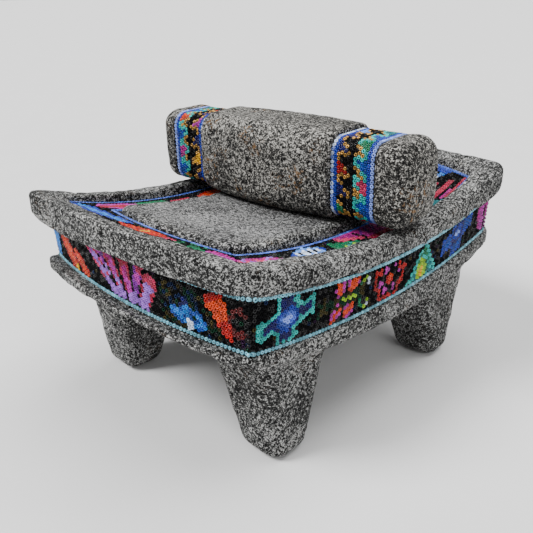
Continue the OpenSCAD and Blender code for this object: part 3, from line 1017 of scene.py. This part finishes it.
def section_point(w, size, r):
    """Points and normals at lengths w round a rounded rectangle, from the middle of its front."""
    flat_y, flat_z = size[0] - 2 * r, size[1] - 2 * r
    arc = math.pi * r / 2
    points = np.zeros((len(w), 2))
    normals = np.zeros((len(w), 2))
    w = np.mod(w + flat_z / 2, 2 * (flat_y + flat_z) + 4 * arc)
    turn = -math.pi
    corner = np.array([-flat_y / 2, -flat_z / 2])
    for flat in (flat_z, flat_y, flat_z, flat_y):
        n = np.array([math.cos(turn), math.sin(turn)])
        t = np.array([n[1], -n[0]])
        on = (w >= 0) & (w < flat)
        points[on] = corner + n * r + t * w[on, None]
        normals[on] = n
        corner = corner + t * flat
        on = (w >= flat) & (w < flat + arc)
        a = turn - (w - flat) / r
        normals[on] = np.stack([np.cos(a[on]), np.sin(a[on])], -1)
        points[on] = corner + r * normals[on]
        w = w - flat - arc
        turn -= math.pi / 2
    return points, normals


def section_length(size, r):
    return 2 * (size[0] + size[1]) - 8 * r + 2 * math.pi * r


BAND_SIZE = KNOB - 2 * MANO_BAND_IN
BAND_ROUND = KNOB_ROUND - MANO_BAND_IN


def mano_place():
    """Turn and shift that put the mano on the pad, as the stroke joint holds it at rest."""
    swing = math.asin(MANO_REST[1] / STROKE_R)
    turn = np.array(Matrix.Rotation(math.radians(MANO_TURN), 3, "Z"))
    roll = np.array(Matrix.Rotation(swing, 3, "X"))
    lift = np.array([MANO_REST[0], 0, MANO_GAP + MANO_H / 2 - STROKE_R])
    return roll @ turn, roll @ lift + np.array([0, 0, STROKE_Z])


def mano_wax(rng, sign, name, place):
    rings = []
    length = section_length(BAND_SIZE, BAND_ROUND)
    steps = 72
    across = np.linspace(-0.4, MANO_BAND_W + 0.4, 12)
    for k in range(steps):
        point, normal = section_point(np.array([k * length / steps]), BAND_SIZE, BAND_ROUND)
        x = MANO_MID_X + sign * (MANO_MID_L / 2 + across)
        face = np.stack([x, np.full(len(x), point[0, 0]), np.full(len(x), point[0, 1])], -1)
        out = np.array([0, normal[0, 0], normal[0, 1]])
        front = face - out * (1.0 + rng.normal(0, 0.05, (len(x), 1)))
        back = face - out * 3.4
        rings.append(np.concatenate([front, back[::-1]]))
    rings = np.array(rings)
    if sign < 0:
        rings = rings[:, ::-1]
    points = rings @ place[0].T + place[1]
    finish(tube(f"wax_mano_{name}", points), f"mano_wax_{name}", "mano")


MANO_COLUMNS = 13       # rows of beads across a band of the mano
# Colours of the waves, in turn round a band: those next to the mano's middle, then those next to the knob
MIDDLE_BLOBS = ("red", "navy", "navy", "ice", "navy", "yellow", "navy", "orchid", "navy", "orange",
                "navy", "green", "navy")
KNOB_BLOBS = ("blue", "green", "blue", "teal", "blue", "magenta", "blue", "orange", "blue", "green",
              "red", "blue", "pink")
BLOBS = len(MIDDLE_BLOBS)


def hooked(k, period, first, across, colors, cut):
    """How far each bead lies outside the nearest wave of a row of them, and that wave's colour."""
    row = np.floor(k / period).astype(int) + first
    down = period - np.mod(k, period)
    edge = np.full(len(k), 9.0)
    for d in (down, down - period):
        edge = np.minimum(edge, np.maximum(across(d), cut(d)))
    return edge, np.array([CODE[c] for c in colors])[row % BLOBS]


def mano_colors(column, k, period, first):
    """Bead colours of a mano band: two rows of hooked waves, with a black zigzag between."""
    near = column - 1.5
    far = MANO_COLUMNS - 2.5 - column
    edge, blob = hooked(k, period, first, lambda d: near - np.clip(0.2 + 1.0 * d, -0.4, 2.9),
                        MIDDLE_BLOBS, lambda d: np.maximum(d - 3.1, -d))
    color = np.where(edge < 0.85, CODE["gold"], CODE["black"])
    color = np.where(edge < 0, blob, color)
    edge, blob = hooked(k - 0.9, period, first,
                        lambda d: far - np.clip(2.7 - 1.1 * np.maximum(d - 1.5, 0), -0.9, 2.7),
                        KNOB_BLOBS, lambda d: np.maximum(d - period + 0.7, 0.3 - d))
    color = np.where(edge < 1.75, CODE["gold"], color)
    color = np.where(edge < 0.9, CODE["turquoise"], color)
    return np.where(edge < 0, blob, color)


MANO_PITCH = 2.83       # of the beads round a band, before it is fitted


def mano_bands(rng, place):
    length = section_length(BAND_SIZE, BAND_ROUND)
    count = int(round(length / MANO_PITCH))
    pitch = length / count
    for sign, name in ((1, "right"), (-1, "left")):
        groups = {"beads": [], "rows": []}
        for column in range(MANO_COLUMNS):
            k = np.arange(count) + (0.5 if column % 2 else 0.0)
            x = np.full(count, MANO_MID_L / 2 + (column + 0.5) * MANO_BAND_W / MANO_COLUMNS)
            k = k + rng.normal(0, 0.03, count)
            point, normal = section_point(k * pitch, BAND_SIZE, BAND_ROUND)
            if column in (0, MANO_COLUMNS - 1):
                color = np.full(count, CODE["white" if column == 0 else "lavender"])
                color[rng.random(count) < 0.3] = CODE["lavender"]
                key = "rows"
            elif column in (1, MANO_COLUMNS - 2):
                color = np.full(count, CODE["cobalt"])
                key = "rows"
            else:
                color = mano_colors(np.full(count, column), k, count / BLOBS, 0 if sign > 0 else 6)
                key = "beads"
            centre = np.stack([MANO_MID_X + sign * x, point[:, 0], point[:, 1]], -1)
            out = np.stack([np.zeros(count), normal[:, 0], normal[:, 1]], -1)
            groups[key].append((centre - out * 0.75, out, color))
        for key, slot in (("beads", "mano_beads"), ("rows", "mano_edge_beads")):
            centre, out, color = (np.concatenate([g[i] for g in groups[key]]) for i in range(3))
            piece = string_beads(f"mano_{key}_ring_{name}", rng, centre, out, np.array([1.0, 0, 0]),
                                 1.34, color, place)
            claim(piece, f"mano_{key}_{name}", "mano")


# ---------------------------------------------------------------- stone pieces
WAX = wax_material()


def finish(piece, node, body="slab", material=None):
    piece.data.materials.append(material or WAX)
    claim(piece, node, body)


def slab_stone(rng):
    margin = 3.0
    reach = LIP + BOWS + margin
    g = Grid((-reach[0], -reach[1], -margin), (*reach, box_mm("metate_body")[1][2] + margin), SLAB_STEP)
    field = slab_field(g)
    field += 0.55 * g.noise(rng, 30.0) + 0.30 * g.noise(rng, 8.0) + 0.16 * g.noise(rng, 3.4) + 0.35

    def likely(x, y, z):
        on_pad = np.maximum(np.abs(x) - PAD_EDGE[0], np.abs(y) - PAD_EDGE[1] - 6) + 11
        rise = z - CHANNEL.height(y)
        worn = (on_pad < 0) & (rise > 3)
        edge = (on_pad > 0) & (on_pad < 13) & (rise > 1.5) & (rise < 9)
        return np.where(worn, 0.12, np.where(edge, 1.0, 0.6))

    field = pit(g, field, rng, 5200, (1.0, 0.55, 2.0), likely)
    np.maximum(field, -g.z, out=field)
    piece = mesh_field("slab_stone", g, field)
    mesh = piece.data
    co = np.empty(len(mesh.vertices) * 3, np.float32)
    mesh.vertices.foreach_get("co", co)
    x, y, z = (co.reshape(-1, 3) / MM).T
    inner = np.minimum(PAD_EDGE[0] + 1 - np.abs(x), PAD_EDGE[1] + 9 - np.abs(y))
    near_top = 1 - np.clip(np.abs(z - PAD_TOP.height(y)) / 2.5, 0, 1)
    worn = np.clip((inner - 5) / 7, 0, 1) * np.sqrt(near_top)
    mesh.attributes.new("worn", "FLOAT", "POINT").data.foreach_set("value", worn.astype(np.float32))
    finish(piece, "metate_body", "slab", basalt("slab_basalt", 0.15, (1.0, 1.0, 1.0), True))


def mano_stone(rng, place):
    margin = 3.0
    reach = np.array([MANO_L, MANO_D, MANO_H]) / 2 + margin
    g = Grid(-reach, reach, MANO_STEP)
    field = mano_field(g)
    field += 0.45 * g.noise(rng, 34.0) + 0.25 * g.noise(rng, 8.0) + 0.14 * g.noise(rng, 2.8) + 0.35
    field = pit(g, field, rng, 1500, (0.8, 0.45, 1.6), lambda x, y, z: np.full(len(x), 0.7))
    piece = mesh_field("mano_stone_body", g, field, place)
    finish(piece, "mano_stone", "mano", basalt("mano_basalt", 0.8, (1.0, 0.97, 0.92)))


# ---------------------------------------------------------------- light, floor and camera
FLOOR_REACH = 300.0     # metres, so that its edge lies at the horizon


def studio():
    world = bpy.data.worlds.new("studio")
    world.use_nodes = True
    world.node_tree.nodes["Background"].inputs["Color"].default_value = (1.0, 1.0, 1.0, 1)
    world.node_tree.nodes["Background"].inputs["Strength"].default_value = 0.34
    bpy.context.scene.world = world
    for name, source, spread, power in (
            ("key", (-0.40, -0.75, 0.95), 22, 5.2), ("side", (1.0, -0.30, 0.60), 40, 1.3),
            ("top", (0.1, 0.3, 1.0), 50, 3.9)):
        lamp = bpy.data.lights.new(name, "SUN")
        lamp.angle = math.radians(spread)
        lamp.energy = power
        light = bpy.data.objects.new(name, lamp)
        light.rotation_euler = Vector(source).to_track_quat("Z", "Y").to_euler()
        bpy.context.scene.collection.objects.link(light)
    corners = np.array([[-1, -1, 0], [1, -1, 0], [1, 1, 0], [-1, 1, 0]]) * FLOOR_REACH / MM
    floor = make_mesh("floor", corners, [np.array([[0, 1, 2, 3]])])
    n = Nodes("pale_floor")
    color = n.ramp(n.noise(60.0), [(0.2, (0.58, 0.58, 0.58)), (0.8, (0.60, 0.60, 0.60))])
    n.link(color, n.shader.inputs["Base Color"])
    n.shader.inputs["Roughness"].default_value = 0.9
    floor.data.materials.append(n.material)


def camera():
    """Looks down at the corner between the front and the right side."""
    azimuth, pitch, roll = (math.radians(turn) for turn in CAMERA_TURN)
    level = math.cos(pitch)
    forward = Vector((-math.sin(azimuth) * level, math.cos(azimuth) * level, -math.sin(pitch)))
    right = Vector((math.cos(azimuth), math.sin(azimuth), 0))
    up = right.cross(forward)
    data = bpy.data.cameras.new("camera")
    data.sensor_width = 36.0
    data.lens = CAMERA_LENS
    data.clip_start = 0.01
    data.clip_end = 1000.0
    view = bpy.data.objects.new("camera", data)
    turned = right * math.cos(roll) + up * math.sin(roll)
    raised = up * math.cos(roll) - right * math.sin(roll)
    pose = Matrix((turned, raised, -forward)).transposed().to_4x4()
    pose.translation = Vector(CAMERA_AT)
    view.matrix_world = pose
    bpy.context.scene.collection.objects.link(view)
    bpy.context.scene.camera = view


camera()
studio()
RNG = np.random.default_rng(11)
PLACE = mano_place()
slab_stone(RNG)
mano_stone(RNG, PLACE)
outer_wax(RNG)
inner_wax(RNG)
outer_bands(RNG)
inner_bands(RNG)
for SIGN, NAME in ((1, "right"), (-1, "left")):
    mano_wax(RNG, SIGN, NAME, PLACE)
mano_bands(RNG, PLACE)
